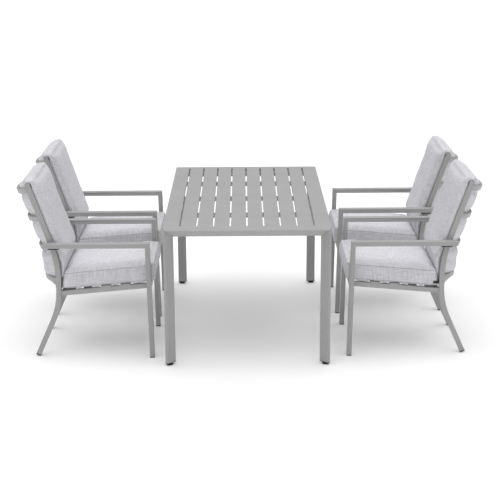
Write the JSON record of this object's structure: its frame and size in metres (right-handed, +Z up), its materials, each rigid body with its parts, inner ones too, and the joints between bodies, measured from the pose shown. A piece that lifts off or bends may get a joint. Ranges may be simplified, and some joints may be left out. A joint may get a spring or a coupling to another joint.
{
  "type": "patio dining set",
  "caption": "Outdoor dining set: rectangular slatted aluminium table with square legs, and stacking-style armchairs with loose grey seat and back cushions.",
  "frame": {"origin": "floor level, under the middle of the whole set's bounding box", "axes": "+X across the table, towards the right-hand chairs; +Y along the table, from its front end to its rear end; +Z up"},
  "size_m": [2.5298, 1.5, 0.9883],
  "materials": {
    "frame": "powder coated, light taupe grey, fine satin texture",
    "cushion_fabric": "woven outdoor polyester, heathered light grey, over foam",
    "black_plastic": "moulded black, satin",
    "black_steel": "black oxide and powder coat, satin"
  },
  "bodies": {
    "table": {"table_leg_front_left": "frame", "table_leg_front_right": "frame", "table_leg_rear_left": "frame", "table_leg_rear_right": "frame", "table_leg_caps": "black_plastic", "table_apron_front": "frame", "table_apron_rear": "frame", "table_rail_left": "frame", "table_rail_right": "frame", "table_top_slats": "frame", "table_crossbars_and_ledges": "frame", "table_corner_gussets": "frame"},
    "glide_front_left": {"levelling_glide_front_left": "black_plastic"},
    "glide_front_right": {"levelling_glide_front_right": "black_plastic"},
    "glide_rear_left": {"levelling_glide_rear_left": "black_plastic"},
    "glide_rear_right": {"levelling_glide_rear_right": "black_plastic"},
    "chair_front_left": {"chair_front_left_post_left": "frame", "chair_front_left_arm_left": "frame", "chair_front_left_post_right": "frame", "chair_front_left_arm_right": "frame", "chair_front_left_seat_frame": "frame", "chair_front_left_seat_slats": "frame", "chair_front_left_back_slats": "frame", "chair_front_left_foot_plugs": "black_plastic", "chair_front_left_fixings": "black_steel"},
    "seat_cushion_front_left": {"chair_front_left_seat_cushion": "cushion_fabric"},
    "back_cushion_front_left": {"chair_front_left_back_cushion": "cushion_fabric"},
    "chair_rear_left": {"chair_rear_left_post_left": "frame", "chair_rear_left_arm_left": "frame", "chair_rear_left_post_right": "frame", "chair_rear_left_arm_right": "frame", "chair_rear_left_seat_frame": "frame", "chair_rear_left_seat_slats": "frame", "chair_rear_left_back_slats": "frame", "chair_rear_left_foot_plugs": "black_plastic", "chair_rear_left_fixings": "black_steel"},
    "seat_cushion_rear_left": {"chair_rear_left_seat_cushion": "cushion_fabric"},
    "back_cushion_rear_left": {"chair_rear_left_back_cushion": "cushion_fabric"},
    "chair_front_right": {"chair_front_right_post_left": "frame", "chair_front_right_arm_left": "frame", "chair_front_right_post_right": "frame", "chair_front_right_arm_right": "frame", "chair_front_right_seat_frame": "frame", "chair_front_right_seat_slats": "frame", "chair_front_right_back_slats": "frame", "chair_front_right_foot_plugs": "black_plastic", "chair_front_right_fixings": "black_steel"},
    "seat_cushion_front_right": {"chair_front_right_seat_cushion": "cushion_fabric"},
    "back_cushion_front_right": {"chair_front_right_back_cushion": "cushion_fabric"},
    "chair_rear_right": {"chair_rear_right_post_left": "frame", "chair_rear_right_arm_left": "frame", "chair_rear_right_post_right": "frame", "chair_rear_right_arm_right": "frame", "chair_rear_right_seat_frame": "frame", "chair_rear_right_seat_slats": "frame", "chair_rear_right_back_slats": "frame", "chair_rear_right_foot_plugs": "black_plastic", "chair_rear_right_fixings": "black_steel"},
    "seat_cushion_rear_right": {"chair_rear_right_seat_cushion": "cushion_fabric"},
    "back_cushion_rear_right": {"chair_rear_right_back_cushion": "cushion_fabric"}
  },
  "joints": [
    {"name": "glide_front_left_screw", "type": "hinge", "parent": "table", "child": "glide_front_left", "pos_m": [-0.4305, -0.7175, 0], "axis": [0, 0, 1], "continuous": true},
    {"name": "glide_front_right_screw", "type": "hinge", "parent": "table", "child": "glide_front_right", "pos_m": [0.4005, -0.7175, 0], "axis": [0, 0, 1], "continuous": true},
    {"name": "glide_rear_left_screw", "type": "hinge", "parent": "table", "child": "glide_rear_left", "pos_m": [-0.4305, 0.7175, 0], "axis": [0, 0, 1], "continuous": true},
    {"name": "glide_rear_right_screw", "type": "hinge", "parent": "table", "child": "glide_rear_right", "pos_m": [0.4005, 0.7175, 0], "axis": [0, 0, 1], "continuous": true},
    {"name": "chair_front_left_pull_out", "type": "slide", "parent": "table", "child": "chair_front_left", "axis": [-1, 0, 0], "range_m": [-0.33, 0.45]},
    {"name": "seat_cushion_front_left_lift", "type": "slide", "parent": "chair_front_left", "child": "seat_cushion_front_left", "axis": [0.5, 0, 0.866], "range_m": [0, 0.15]},
    {"name": "back_cushion_front_left_lift", "type": "slide", "parent": "chair_front_left", "child": "back_cushion_front_left", "axis": [0, 0, 1], "range_m": [0, 0.6]},
    {"name": "chair_rear_left_pull_out", "type": "slide", "parent": "table", "child": "chair_rear_left", "axis": [-1, 0, 0], "range_m": [-0.33, 0.45]},
    {"name": "seat_cushion_rear_left_lift", "type": "slide", "parent": "chair_rear_left", "child": "seat_cushion_rear_left", "axis": [0.5, 0, 0.866], "range_m": [0, 0.15]},
    {"name": "back_cushion_rear_left_lift", "type": "slide", "parent": "chair_rear_left", "child": "back_cushion_rear_left", "axis": [0, 0, 1], "range_m": [0, 0.6]},
    {"name": "chair_front_right_pull_out", "type": "slide", "parent": "table", "child": "chair_front_right", "axis": [1, 0, 0], "range_m": [-0.33, 0.45]},
    {"name": "seat_cushion_front_right_lift", "type": "slide", "parent": "chair_front_right", "child": "seat_cushion_front_right", "axis": [-0.5, 0, 0.866], "range_m": [0, 0.15]},
    {"name": "back_cushion_front_right_lift", "type": "slide", "parent": "chair_front_right", "child": "back_cushion_front_right", "axis": [0, 0, 1], "range_m": [0, 0.6]},
    {"name": "chair_rear_right_pull_out", "type": "slide", "parent": "table", "child": "chair_rear_right", "axis": [1, 0, 0], "range_m": [-0.33, 0.45]},
    {"name": "seat_cushion_rear_right_lift", "type": "slide", "parent": "chair_rear_right", "child": "seat_cushion_rear_right", "axis": [-0.5, 0, 0.866], "range_m": [0, 0.15]},
    {"name": "back_cushion_rear_right_lift", "type": "slide", "parent": "chair_rear_right", "child": "back_cushion_rear_right", "axis": [0, 0, 1], "range_m": [0, 0.6]}
  ]
}
